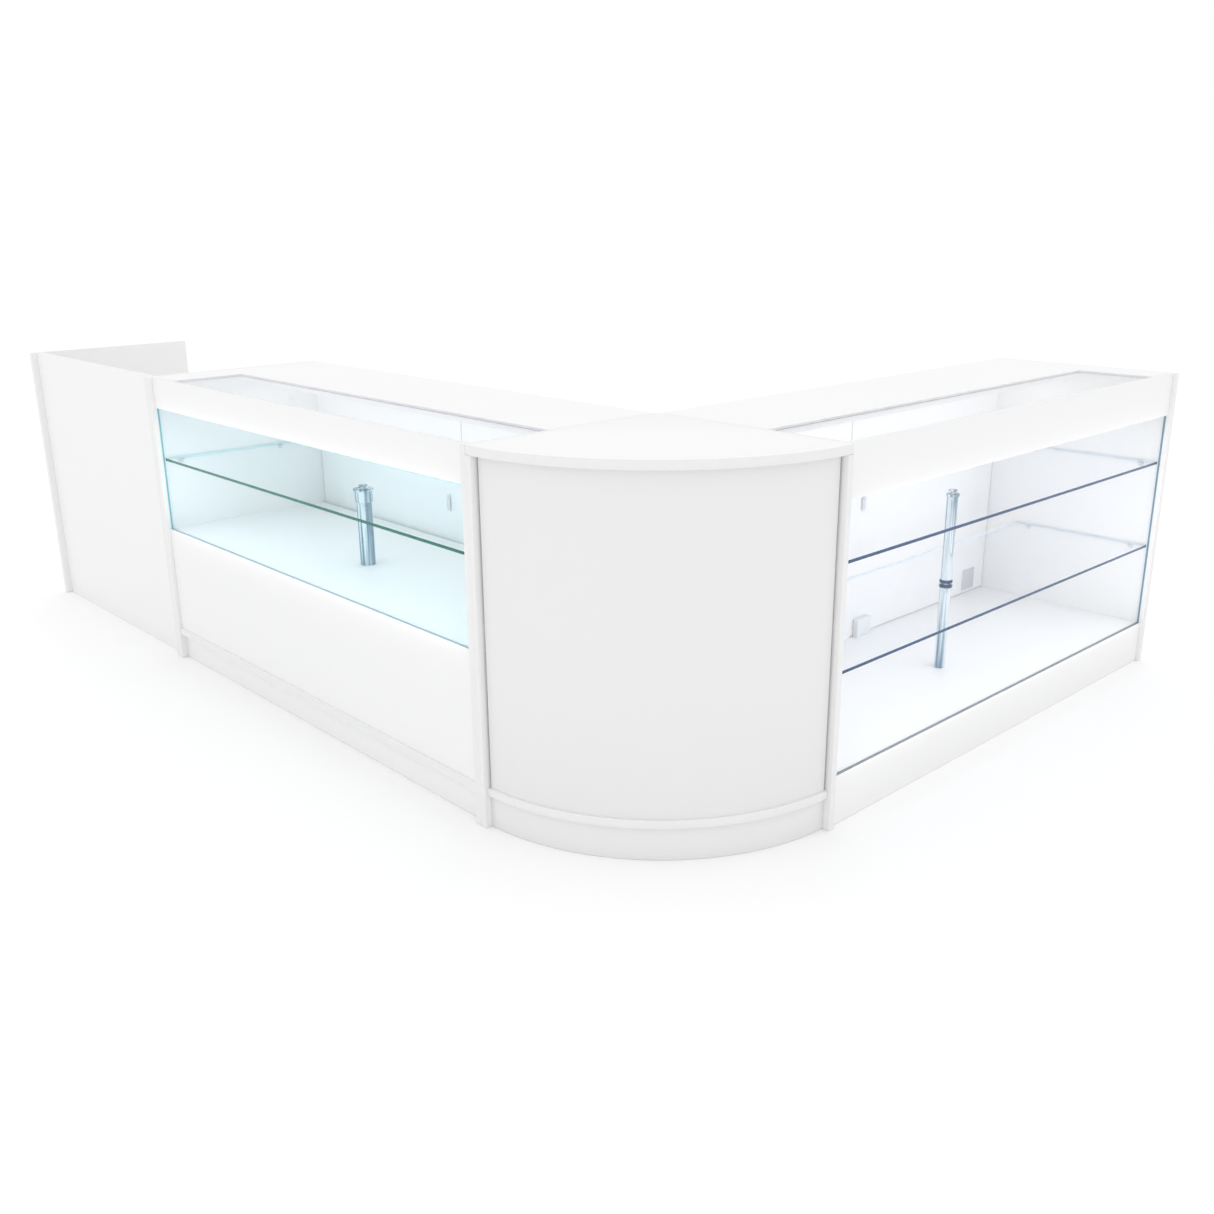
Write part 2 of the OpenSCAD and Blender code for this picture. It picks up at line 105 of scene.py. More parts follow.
def shade(colour: Colour, factor: float) -> Colour:
    """Make a colour lighter or darker.

    Args:
        colour: The colour to start from, linear.
        factor: What each channel is multiplied by.

    Returns:
        The new colour, with no channel over 1.
    """
    return tuple(min(1.0, channel * factor) for channel in colour)


# ---------------------------------------------------------------- shader maths


class Wire:
    """A shader value that takes part in arithmetic, each step adding a Math node."""

    def __init__(self, graph: "Graph", socket: bpy.types.NodeSocket) -> None:
        """Hold the socket that gives the value and the graph that it belongs to."""
        self.graph = graph
        self.socket = socket

    def _math(self, operation: str, left: object, right: object) -> "Wire":
        """Add one Math node.

        Args:
            operation: Blender's name of the operation.
            left: The first operand, a Wire or a number.
            right: The second operand, a Wire or a number.

        Returns:
            The node's result.
        """
        node = self.graph.add("ShaderNodeMath", {"operation": operation}, {0: left, 1: right})
        return Wire(self.graph, node.outputs[0])

    def __add__(self, other: object) -> "Wire":
        """Add."""
        return self._math("ADD", self, other)

    def __radd__(self, other: object) -> "Wire":
        """Add, with the number on the left."""
        return self._math("ADD", other, self)

    def __sub__(self, other: object) -> "Wire":
        """Subtract."""
        return self._math("SUBTRACT", self, other)

    def __rsub__(self, other: object) -> "Wire":
        """Subtract from a number."""
        return self._math("SUBTRACT", other, self)

    def __mul__(self, other: object) -> "Wire":
        """Multiply."""
        return self._math("MULTIPLY", self, other)

    def __rmul__(self, other: object) -> "Wire":
        """Multiply, with the number on the left."""
        return self._math("MULTIPLY", other, self)

    def __truediv__(self, other: object) -> "Wire":
        """Divide."""
        return self._math("DIVIDE", self, other)

    def power(self, exponent: Number) -> "Wire":
        """Raise the value to a power."""
        return self._math("POWER", self, exponent)

    def at_least(self, low: Number) -> "Wire":
        """Keep the value from going under a number."""
        return self._math("MAXIMUM", self, low)

    def at_most(self, high: Number) -> "Wire":
        """Keep the value from going over a number."""
        return self._math("MINIMUM", self, high)

    def below(self, limit: Number, soft: Number) -> "Wire":
        """Make a mask that is 1 under a limit and falls to 0 over a soft stretch above it."""
        return ((limit + soft - self) / soft).at_least(0.0).at_most(1.0)


class Graph:
    """A material's node tree."""

    def __init__(self, name: str) -> None:
        """Start an empty material of that name."""
        self.material = bpy.data.materials.new(name)
        self.material.use_nodes = True
        self.tree = self.material.node_tree
        self.tree.nodes.clear()
        self.output = self.tree.nodes.new("ShaderNodeOutputMaterial")

    def add(
        self,
        kind: str,
        settings: Optional[dict[str, object]] = None,
        inputs: Optional[dict[object, object]] = None,
    ) -> bpy.types.Node:
        """Add a node.

        Args:
            kind: The node's type name.
            settings: Properties to set first.
            inputs: Values or links for its sockets, by name or index.

        Returns:
            The node.
        """
        node = self.tree.nodes.new(kind)
        for key, value in (settings or {}).items():
            setattr(node, key, value)
        for key, value in (inputs or {}).items():
            socket = node.inputs[key]
            if isinstance(value, Wire):
                self.tree.links.new(value.socket, socket)
            elif isinstance(value, bpy.types.NodeSocket):
                self.tree.links.new(value, socket)
            else:
                socket.default_value = value
        return node

    def place(self) -> bpy.types.NodeSocket:
        """Give the point on the object at rest, in metres."""
        return self.add("ShaderNodeTexCoord").outputs["Object"]

    def height(self) -> Wire:
        """Give the height above the floor at rest, in metres."""
        split = self.add("ShaderNodeSeparateXYZ", None, {0: self.place()})
        return Wire(self, split.outputs["Z"])

    def noise(self, scale: float, detail: float = 2.0, stretch: Colour = (1, 1, 1)) -> Wire:
        """Add a noise that is even over the object.

        Args:
            scale: Lumps to a metre.
            detail: Octaves of finer noise.
            stretch: How much finer the noise is along each axis.

        Returns:
            The noise, from 0 to 1.
        """
        place = self.add(
            "ShaderNodeVectorMath", {"operation": "MULTIPLY"}, {0: self.place(), 1: stretch}
        )
        node = self.add(
            "ShaderNodeTexNoise",
            None,
            {"Vector": place.outputs[0], "Scale": scale, "Detail": detail},
        )
        return Wire(self, node.outputs["Fac"])

    def blend(self, factor: Wire, first: Colour, second: Colour) -> bpy.types.NodeSocket:
        """Mix two colours by a factor from 0, the first, to 1, the second."""
        node = self.add(
            "ShaderNodeMix",
            {"data_type": "RGBA"},
            {"Factor": factor, 6: rgba(first), 7: rgba(second)},
        )
        return node.outputs[2]

    def bump(self, height: Wire, strength: float, depth: float) -> bpy.types.NodeSocket:
        """Turn a height into a normal.

        Args:
            height: The relief, from 0 to 1.
            strength: How much of it shows.
            depth: How deep it is, in metres.

        Returns:
            The normal's socket.
        """
        node = self.add(
            "ShaderNodeBump", None, {"Height": height, "Strength": strength, "Distance": depth}
        )
        return node.outputs["Normal"]

    def close(self, shader: bpy.types.NodeSocket) -> bpy.types.Material:
        """Send a shader to the output and give the material."""
        self.tree.links.new(shader, self.output.inputs["Surface"])
        return self.material


# -------------------------------------------------------------------- finishes


@dataclass(frozen=True)
class BoardFace:
    """Melamine on a board's broad faces: fine pearl texture, faint scuffs near the floor."""

    name: str
    colour: Colour
    roughness: float = 0.36
    pearl_scale: float = 420.0
    pearl_depth: float = 0.05 * MM
    scuff_height: float = 60 * MM

    def make(self) -> bpy.types.Material:
        """Build the material."""
        g = Graph(self.name)
        cloud = g.noise(2.2, 3.0)
        pearl = g.noise(self.pearl_scale, 3.0)
        scuff = g.height().below(0.0, self.scuff_height) * g.noise(38.0, 4.0, (1, 1, 4))
        tone = (cloud * 0.6 + scuff * 0.9).at_most(1.0)
        base = g.blend(tone, self.colour, shade(self.colour, 0.965))
        shader = g.add(
            "ShaderNodeBsdfPrincipled",
            None,
            {
                "Base Color": base,
                "Roughness": self.roughness + pearl * 0.10 + scuff * 0.12,
                "Specular IOR Level": 0.42,
                "Normal": g.bump(pearl, 0.35, self.pearl_depth),
            },
        )
        return g.close(shader.outputs[0])


@dataclass(frozen=True)
class BoardEdge:
    """Plastic edging on a board's narrow faces, a little smoother than the board and greyer, the
    grey partly painted shade along the joints.
    """

    name: str
    colour: Colour
    roughness: float = 0.27

    def make(self) -> bpy.types.Material:
        """Build the material."""
        g = Graph(self.name)
        drawn = g.noise(60.0, 3.0)
        fine = g.noise(700.0, 2.0)
        shader = g.add(
            "ShaderNodeBsdfPrincipled",
            None,
            {
                "Base Color": g.blend(drawn, self.colour, shade(self.colour, 0.95)),
                "Roughness": self.roughness + fine * 0.08,
                "Normal": g.bump(fine, 0.2, 0.03 * MM),
            },
        )
        return g.close(shader.outputs[0])


@dataclass(frozen=True)
class PaneFace:
    """Clear float glass seen through its broad faces, with a mirror sheen at low angles."""

    name: str
    tint: Colour
    sheen: float = 0.6
    straight_on: float = 0.04

    def make(self) -> bpy.types.Material:
        """Build the material."""
        g = Graph(self.name)
        smear = g.noise(5.0, 4.0, (1, 3, 1))
        clear = g.add("ShaderNodeBsdfTransparent", None, {"Color": rgba(self.tint)})
        mirror = g.add(
            "ShaderNodeBsdfAnisotropic",
            None,
            {"Color": rgba(WHITE), "Roughness": 0.01 + smear * 0.03},
        )
        slant = Wire(g, g.add("ShaderNodeLayerWeight", None, {"Blend": 0.5}).outputs["Facing"])
        mix = g.add(
            "ShaderNodeMixShader",
            None,
            {
                0: (self.straight_on + (1.0 - self.straight_on) * slant.power(5.0)) * self.sheen,
                1: clear.outputs[0],
                2: mirror.outputs[0],
            },
        )
        return g.close(mix.outputs[0])


@dataclass(frozen=True)
class PaneEdge:
    """A ground glass edge whose colour is painted light: the light that runs through the pane is
    painted in, dark on some edges and bright on others.
    """

    name: str
    colour: Colour

    def make(self) -> bpy.types.Material:
        """Build the material."""
        g = Graph(self.name)
        bands = g.noise(30.0, 3.0, (1, 1, 6))
        grind = g.noise(900.0, 2.0)
        shader = g.add(
            "ShaderNodeBsdfPrincipled",
            None,
            {
                "Base Color": g.blend(bands, shade(self.colour, 0.75), shade(self.colour, 1.3)),
                "Roughness": 0.12 + grind * 0.12,
                "Specular IOR Level": 0.15,
                "Coat Weight": 0.05,
                "Normal": g.bump(grind, 0.15, 0.02 * MM),
            },
        )
        return g.close(shader.outputs[0])


@dataclass(frozen=True)
class Metal:
    """Plated or brushed metal, with drawn lines along one axis."""

    name: str
    colour: Colour
    roughness: float
    lines: Colour = (40, 40, 1)
    line_scale: float = 18.0
    line_depth: float = 0.02 * MM

    def make(self) -> bpy.types.Material:
        """Build the material."""
        g = Graph(self.name)
        drawn = g.noise(self.line_scale, 4.0, self.lines)
        cloud = g.noise(9.0, 3.0)
        shader = g.add(
            "ShaderNodeBsdfPrincipled",
            None,
            {
                "Base Color": g.blend(cloud, self.colour, shade(self.colour, 0.86)),
                "Metallic": 1.0,
                "Roughness": self.roughness + drawn * 0.08 + cloud * 0.04,
                "Normal": g.bump(drawn, 0.25, self.line_depth),
            },
        )
        return g.close(shader.outputs[0])


@dataclass(frozen=True)
class Plated:
    """Bright chrome plate on tube, with painted reflections: light and dark streaks along its
    length in the base colour.
    """

    name: str
    dark: Colour
    bright: Colour
    roughness: float = 0.12
    streaks: float = 95.0

    def make(self) -> bpy.types.Material:
        """Build the material."""
        g = Graph(self.name)
        streak = g.noise(self.streaks, 1.0, (1.0, 1.0, 0.02))
        fine = g.noise(420.0, 2.0, (1.0, 1.0, 0.05))
        # The streaks are painted reflections: the base colour is blended between a dark blue and a
        # bright tone along the tube.
        tone = ((streak - 0.46) * 6.0 + fine * 0.3).at_least(0.0).at_most(1.0)
        shader = g.add(
            "ShaderNodeBsdfPrincipled",
            None,
            {
                "Base Color": g.blend(tone, self.dark, self.bright),
                "Metallic": 1.0,
                "Roughness": self.roughness + fine * 0.10,
                "Normal": g.bump(fine, 0.2, 0.02 * MM),
            },
        )
        return g.close(shader.outputs[0])


@dataclass(frozen=True)
class Moulded:
    """Moulded plastic or rubber with a fine spark texture."""

    name: str
    colour: Colour
    roughness: float = 0.5
    grain: float = 1500.0

    def make(self) -> bpy.types.Material:
        """Build the material."""
        g = Graph(self.name)
        spark = g.noise(self.grain, 2.0)
        cloud = g.noise(30.0, 2.0)
        shader = g.add(
            "ShaderNodeBsdfPrincipled",
            None,
            {
                "Base Color": g.blend(cloud, self.colour, shade(self.colour, 0.92)),
                "Roughness": self.roughness + spark * 0.12,
                "Normal": g.bump(spark, 0.3, 0.04 * MM),
            },
        )
        return g.close(shader.outputs[0])


class Finish(Enum):
    """The finishes that the pieces are dressed in."""

    BOARD = BoardFace("melamine_face", (0.875, 0.875, 0.875))
    # Edging colours sit below the board colours: partly a real edging tone, partly painted shade at
    # the joints.
    BOARD_EDGE = BoardEdge("melamine_edging_painted_shade", (0.83, 0.83, 0.83))
    BENT = BoardFace("bent_laminate_face", (0.81, 0.81, 0.81), roughness=0.42)
    BENT_EDGE = BoardEdge("bent_laminate_edge_painted_shade", (0.74, 0.74, 0.74))
    LEFT_PANE = PaneFace("left_pane_glass", (0.948, 0.988, 1.0))
    LEFT_TOP = PaneFace("left_top_glass_face", (0.992, 0.990, 1.0), sheen=0.7)
    LEFT_SHELF = PaneFace("left_shelf_glass", (0.985, 0.998, 0.999), sheen=0.2)
    # Glass edge colours are the glass's green tint with painted light: dark front and pane edges as
    # painted shade, bright side and top edges as painted highlight.
    LEFT_EDGE = PaneEdge("left_glass_front_edge_painted_shade", (0.004, 0.095, 0.065))
    LEFT_END = PaneEdge("left_glass_side_edge_painted_highlight", (0.58, 0.78, 0.82))
    LEFT_PANE_END = PaneEdge("left_pane_end_edge_painted_shade", (0.20, 0.50, 0.55))
    RIGHT_PANE = PaneFace("right_pane_glass", (0.990, 0.994, 1.0))
    RIGHT_TOP = PaneFace("right_top_glass_face", (0.990, 0.993, 1.0), sheen=0.7)
    RIGHT_SHELF = PaneFace("right_shelf_glass", (0.990, 0.994, 1.0), sheen=0.2)
    RIGHT_EDGE = PaneEdge("right_glass_front_edge_painted_shade", (0.006, 0.040, 0.110))
    RIGHT_END = PaneEdge("right_glass_side_edge_painted_highlight", (0.66, 0.72, 0.77))
    RIGHT_PANE_END = PaneEdge("right_pane_end_edge_painted_shade", (0.16, 0.28, 0.38))
    TOP_END = PaneEdge("top_glass_edge_painted_highlight", (0.80, 0.82, 0.86))
    # Post chrome carries painted reflections as light and dark streaks in its base colour.
    CHROME = Plated("post_chrome_painted_reflections", (0.20, 0.33, 0.43), (0.82, 0.90, 0.94))
    # The collar chrome's near-black blue is a painted dark reflection, not the plate's own colour.
    DARK_CHROME = Metal("collar_chrome_painted_dark_reflection", (0.03, 0.10, 0.20), 0.22)
    ZINC = Metal("zinc_plated_steel", (0.80, 0.81, 0.83), 0.34, lines=(1, 1, 30))
    NICKEL = Metal("nickel_lock", (0.88, 0.88, 0.90), 0.30, lines=(25, 25, 25))
    PLASTIC = Moulded("white_catch_plastic", (0.80, 0.82, 0.84))
    LEFT_SEAL = Moulded("violet_glazing_tape", (0.13, 0.10, 0.30), 0.45)
    RIGHT_SEAL = Moulded("slate_glazing_tape", (0.012, 0.040, 0.105), 0.45)
    LEFT_GASKET = Moulded("teal_glazing_gasket", (0.52, 0.74, 0.79), 0.4)
    RIGHT_GASKET = Moulded("slate_glazing_gasket", (0.06, 0.12, 0.18), 0.4)
    # Near-black finish for the screws' cross recesses: painted shade of the hollow.
    RECESS = Moulded("screw_recess_painted_shade", (0.03, 0.03, 0.035), 0.6)


class Paint:
    """Makes each finish's material once."""

    made: dict[Finish, bpy.types.Material] = {}

    @classmethod
    def of(cls, finish: Finish) -> bpy.types.Material:
        """Give a finish's material."""
        if finish not in cls.made:
            cls.made[finish] = finish.value.make()
        return cls.made[finish]


# ---------------------------------------------------------------- mesh helpers


def new_piece(name: str, mesh: bmesh.types.BMesh, finishes: Sequence[Finish]) -> bpy.types.Object:
    """Turn a bmesh into an object.

    Args:
        name: The piece's name.
        mesh: Its faces, whose material indices point into finishes. It is freed.
        finishes: The finishes in slot order.

    Returns:
        The linked object.
    """
    data = bpy.data.meshes.new(name)
    mesh.to_mesh(data)
    mesh.free()
    for finish in finishes:
        data.materials.append(Paint.of(finish))
    piece = bpy.data.objects.new(name, data)
    bpy.context.scene.collection.objects.link(piece)
    return piece


def round_edges(mesh: bmesh.types.BMesh, radius: float, sharpest: float = 0.6) -> None:
    """Round a mesh's outside edges.

    Args:
        mesh: The mesh to change.
        radius: The size of the round, in metres.
        sharpest: Edges that turn by less than this many radians stay.
    """
    edges = [
        e
        for e in mesh.edges
        if len(e.link_faces) == 2 and e.is_convex and e.calc_face_angle(0.0) > sharpest
    ]
    if edges:
        bmesh.ops.bevel(
            mesh,
            geom=edges,
            offset=radius,
            offset_type="OFFSET",
            segments=2,
            profile=0.5,
            affect="EDGES",
            clamp_overlap=True,
        )


def smooth_by_angle(piece: bpy.types.Object, degrees: float) -> None:
    """Shade a piece smooth, except over edges that turn by more than some degrees."""
    piece.data.polygons.foreach_set("use_smooth", [True] * len(piece.data.polygons))
    piece.data.set_sharp_from_angle(angle=math.radians(degrees))


def slab_into(mesh: bmesh.types.BMesh, low: Vector, high: Vector, slot: int = 0) -> None:
    """Add a box between two corners to a mesh.

    Args:
        mesh: The mesh to add to.
        low: One corner.
        high: The opposite corner.
        slot: The material index of its faces.
    """
    a = Vector(map(min, low, high))
    b = Vector(map(max, low, high))
    made = bmesh.ops.create_cube(mesh, size=1.0)["verts"]
    for v in made:
        v.co = Vector(a[i] + (v.co[i] + 0.5) * (b[i] - a[i]) for i in range(3))
    for face in {f for v in made for f in v.link_faces}:
        face.material_index = slot


def lathe_into(
    mesh: bmesh.types.BMesh,
    outline: Sequence[tuple[float, float]],
    at: Vector,
    along: Vector,
    steps: int = 24,
    slot: int = 0,
) -> None:
    """Add a turned shape to a mesh.

    Args:
        mesh: The mesh to add to.
        outline: Pairs of radius and distance along the axis, in metres.
        at: Where the axis starts.
        along: The axis's direction.
        steps: Sides of the turned shape.
        slot: The material index of its faces.
    """
    turn = along.normalized().to_track_quat("Z", "Y")
    rings = []
    for radius, rise in outline:
        if radius < 1e-7:
            rings.append([mesh.verts.new(at + turn @ Vector((0, 0, rise)))])
            continue
        ring = []
        for i in range(steps):
            angle = 2 * math.pi * i / steps
            point = Vector((radius * math.cos(angle), radius * math.sin(angle), rise))
            ring.append(mesh.verts.new(at + turn @ point))
        rings.append(ring)
    for lower, upper in zip(rings, rings[1:]):
        for i in range(steps):
            j = (i + 1) % steps
            corners = [lower[i % len(lower)], lower[j % len(lower)]]
            corners += [upper[j % len(upper)], upper[i % len(upper)]]
            unique = list(dict.fromkeys(corners))
            if len(unique) > 2:
                mesh.faces.new(unique).material_index = slot


def body_of_node(node: str) -> str:
    """Give the name of the body that a CAD node belongs to."""
    return frame["nodes"][node]["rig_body"]


def clean_copy(node: str) -> bmesh.types.BMesh:
    """Copy a CAD node's mesh, with its triangles joined into flat faces."""
    mesh = bmesh.new()
    mesh.from_mesh(frame["nodes"][node].data)
    bmesh.ops.remove_doubles(mesh, verts=mesh.verts, dist=SAME_PLACE)
    bmesh.ops.dissolve_limit(
        mesh, angle_limit=math.radians(FLAT_WITHIN), verts=mesh.verts, edges=mesh.edges
    )
    mesh.normal_update()
    return mesh


SlotRule = Callable[[bmesh.types.BMFace], int]


def flat_rule(axis: int) -> SlotRule:
    """Make a rule that gives slot 0 to faces across an axis and slot 1 to the rest."""

    def rule(face: bmesh.types.BMFace) -> int:
        """Sort one face."""
        return 0 if abs(face.normal[axis]) > ACROSS else 1

    return rule


def shelf_rule(front: Vector) -> SlotRule:
    """Make a rule for a shelf: slot 0 for its broad faces, 1 for its front edge, 2 for the rest."""

    def rule(face: bmesh.types.BMFace) -> int:
        """Sort one face."""
        if abs(face.normal.z) > ACROSS:
            return 0
        return 1 if face.normal.dot(front) > 0.5 else 2

    return rule


def thin_axis(mesh: bmesh.types.BMesh) -> int:
    """Find the axis along which a mesh's faces cover the most area, its thickness."""
    area = [0.0, 0.0, 0.0]
    for face in mesh.faces:
        for axis in range(3):
            area[axis] += abs(face.normal[axis]) * face.calc_area()
    return area.index(max(area))


def one_slot(_face: bmesh.types.BMFace) -> int:
    """Give every face slot 0."""
    return 0


def dress(
    node: str,
    finishes: Sequence[Finish],
    radius: float,
    rule: Optional[SlotRule] = None,
    smooth: Optional[float] = None,
) -> bpy.types.Object:
    """Stand a finished piece in for a CAD node, with its edges rounded.

    Args:
        node: The CAD node.
        finishes: The finishes in slot order.
        radius: How far its edges are rounded, in metres.
        rule: Sorts the faces into the finishes; by default faces across the thin axis come first.
        smooth: Shade smooth below this angle, in degrees.

    Returns:
        The piece.
    """
    mesh = clean_copy(node)
    sort = rule or flat_rule(thin_axis(mesh))
    round_edges(mesh, radius)
    mesh.normal_update()
    for face in mesh.faces:
        face.material_index = min(sort(face), len(finishes) - 1)
    piece = new_piece(node + "_dressed", mesh, finishes)
    if smooth is not None:
        smooth_by_angle(piece, smooth)
    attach(piece, body_of_node(node))
    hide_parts(node)
    LOG.info("%s: %d faces", piece.name, len(piece.data.polygons))
    return piece


def ride_on(piece: bpy.types.Object, body: str) -> bpy.types.Object:
    """Make a piece ride on a body."""
    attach(piece, body)
    LOG.info("%s rides on %s", piece.name, body)
    return piece


# ------------------------------------------------------------------ assemblies


@dataclass
class CornerUnit:
    """The quarter-round unit between the two arms."""

    board_round: float = BOARD_ROUND
    top_round: float = 1.5 * MM
    bent_smooth: float = 30.0
    bent_nodes: tuple[str, ...] = ("corner_front", "corner_plinth")
    flat_nodes: tuple[str, ...] = ("corner_left_side", "corner_right_side")
    level_nodes: tuple[str, ...] = ("corner_former", "corner_base_board")

    def build(self) -> None:
        """Dress every board of the unit."""
        board = (Finish.BOARD, Finish.BOARD_EDGE)
        for node in self.flat_nodes:
            dress(node, board, self.board_round)
        for node in self.level_nodes:
            dress(node, board, self.board_round, flat_rule(2), smooth=SMOOTH_BELOW)
        dress("corner_top", board, self.top_round, flat_rule(2), smooth=SMOOTH_BELOW)
        for node in self.bent_nodes:
            dress(
                node,
                (Finish.BENT, Finish.BENT_EDGE),
                self.board_round,
                self.bent_rule(node),
                smooth=self.bent_smooth,
            )

    def bent_rule(self, node: str) -> SlotRule:
        """Make a rule that gives slot 0 to a bent panel's curved faces.

        Args:
            node: The bent panel; not used. The centre is the highest corner of the unit's top.

        Returns:
            The rule.
        """
        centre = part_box("corner_top")[1]

        def rule(face: bmesh.types.BMFace) -> int:
            """Sort one face by how far its normal points along the radius."""
            out = face.calc_center_median() - centre
            out.z = 0.0
            return 0 if abs(face.normal.dot(out.normalized())) > ACROSS else 1

        return rule


class Side(Enum):
    """The two arms of the counter."""

    LEFT = "left"
    RIGHT = "right"


@dataclass
class Arm:
    """The frame of one arm: length from the corner, depth from the staff side, height."""

    side: Side
    origin: Vector = field(init=False)

    def __post_init__(self) -> None:
        """Find the inner corner, where both arms meet."""
        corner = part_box("corner_top")[1]
        self.origin = Vector((corner.x, corner.y, 0.0))

    def world(self, along: float, across: float, height: float) -> Vector:
        """Turn a place in the arm's frame into the counter's frame."""
        if self.side is Side.RIGHT:
            return self.origin + Vector((along, across, height))
        return self.origin + Vector((across, along, height))

    def local(self, point: Vector) -> Vector:
        """Turn a place in the counter's frame into the arm's frame."""
        away = point - self.origin
        return away if self.side is Side.RIGHT else Vector((away.y, away.x, away.z))

    def box(self, node: str) -> tuple[Vector, Vector]:
        """Give a node's box in the arm's frame."""
        low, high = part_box(node)
        a, b = self.local(low), self.local(high)
        return Vector(map(min, a, b)), Vector(map(max, a, b))

    def slab(
        self, mesh: bmesh.types.BMesh, low: Sequence[float], high: Sequence[float], slot: int = 0
    ) -> None:
        """Add a box given in the arm's frame to a mesh."""
        slab_into(mesh, self.world(*low), self.world(*high), slot)


@dataclass
class DisplayCounter:
    """One glazed display counter: its boards, glass, posts, tapes and gaskets."""

    side: Side
    shelves: tuple[str, ...]
    posts: tuple[str, ...]
    boards: tuple[str, ...]
    pane: Finish
    top: Finish
    shelf: Finish
    edge: Finish
    side_edge: Finish
    pane_edge: Finish
    seal: Finish
    gasket: Finish
    board_round: float = BOARD_ROUND
    glass_round: float = 0.7 * MM
    post_round: float = 0.4 * MM
    tape_width: float = 3.0 * MM
    tape_thick: float = 0.4 * MM
    tape_round: float = 0.1 * MM
    gasket_rise: float = 0.5 * MM
    gasket_wide: float = 1.0 * MM
    gasket_round: float = 0.2 * MM

    def __post_init__(self) -> None:
        """Set up the arm's frame."""
        self.arm = Arm(self.side)

    def node(self, name: str) -> str:
        """Give the full name of one of this counter's nodes."""
        return f"{self.side.value}_{name}"

    def build(self) -> None:
        """Dress the nodes and add the trim."""
        for name in self.boards:
            dress(
                self.node(name), (Finish.BOARD, Finish.BOARD_EDGE), self.board_round
            )
        pane = (self.pane, self.pane_edge)
        dress(self.node("front_glass"), pane, self.glass_round)
        dress(self.node("top_glass"), (self.top, Finish.TOP_END), self.glass_round)
        front = self.arm.world(0.0, -1.0, 0.0) - self.arm.world(0.0, 0.0, 0.0)
        for name in self.shelves:
            dress(
                self.node(name),
                (self.shelf, self.edge, self.side_edge),
                self.glass_round,
                shelf_rule(front),
            )
        for name in self.posts:
            dress(
                self.node(name),
                (Finish.CHROME,),
                self.post_round,
                one_slot,
                smooth=SMOOTH_BELOW,
            )
        self.build_top_tape()
        self.build_gaskets()

    def build_top_tape(self) -> None:
        """Lay dark glazing tape on the ledges under the top pane's rear and far edges."""
        low, high = self.arm.box(self.node("top_glass"))
        wide, thick = self.tape_width, self.tape_thick
        mesh = bmesh.new()
        self.arm.slab(mesh, (low.x, high.y - wide, low.z), (high.x, high.y, low.z + thick))
        self.arm.slab(mesh, (high.x - wide, low.y, low.z), (high.x, high.y - wide, low.z + thick))
        round_edges(mesh, self.tape_round)
        ride_on(new_piece(self.node("top_tape"), mesh, (self.seal,)), ROOT)

    def build_gaskets(self) -> None:
        """Run a gasket along the front pane's foot, on both of its faces."""
        low, high = self.arm.box(self.node("front_glass"))
        sill = self.arm.box(self.node(self.sill_node()))[1].z
        mesh = bmesh.new()
        for face, way in ((low.y, -1), (high.y, 1)):
            self.arm.slab(
                mesh,
                (low.x, face, sill - self.gasket_wide),
                (high.x, face + way * self.gasket_wide, sill + self.gasket_rise),
            )
        round_edges(mesh, self.gasket_round)
        ride_on(new_piece(self.node("foot_gasket"), mesh, (self.gasket,)), ROOT)

    def sill_node(self) -> str:
        """Name the board that the front pane stands in."""
        return "front_panel" if self.side is Side.LEFT else "plinths"


